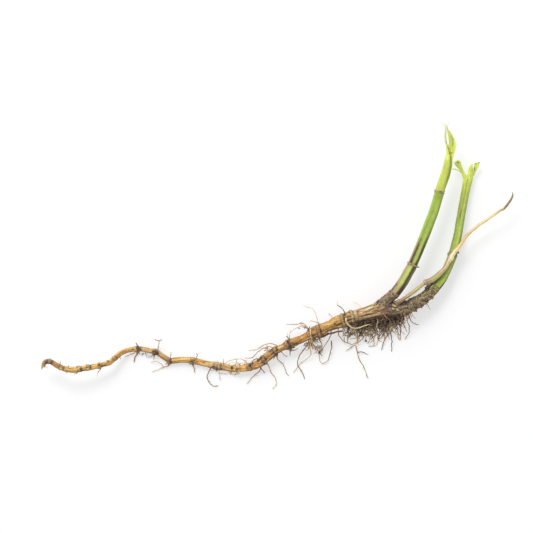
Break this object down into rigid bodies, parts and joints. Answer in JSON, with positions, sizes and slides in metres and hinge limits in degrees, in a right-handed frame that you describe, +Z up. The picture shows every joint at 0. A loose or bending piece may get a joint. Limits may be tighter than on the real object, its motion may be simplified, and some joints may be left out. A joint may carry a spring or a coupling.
{
  "type": "nettle root",
  "caption": "Jointed woody rootstock with fine rootlets and soil under its crown, two cut green stems torn at the top and a thin withered side shoot, lying on a surface.",
  "frame": {"origin": "centre of the bounding box, at its bottom, on the surface that the root lies on", "axes": "+X along the root's length, towards the crown and the stems; +Y across, towards the torn tops of the stems; +Z up from the surface"},
  "size_m": [0.2353, 0.1337, 0.0141],
  "materials": {
    "rootstock_bark": "ochre root bark, matt, darker and soil-stained at the joints and the crown",
    "dry_soil": "dry dark soil, crumbly",
    "green_stem": "fresh green stem with purple-brown ribs, satin",
    "pale_green_stem": "fresh pale green stem, satin",
    "withered_straw": "dried straw-coloured shoot, matt"
  },
  "bodies": {
    "root": {"rhizome": "rootstock_bark", "soil_clump": "dry_soil", "tall_stem": "green_stem", "split_stem": "pale_green_stem", "withered_shoot": "withered_straw"}
  },
  "joints": []
}
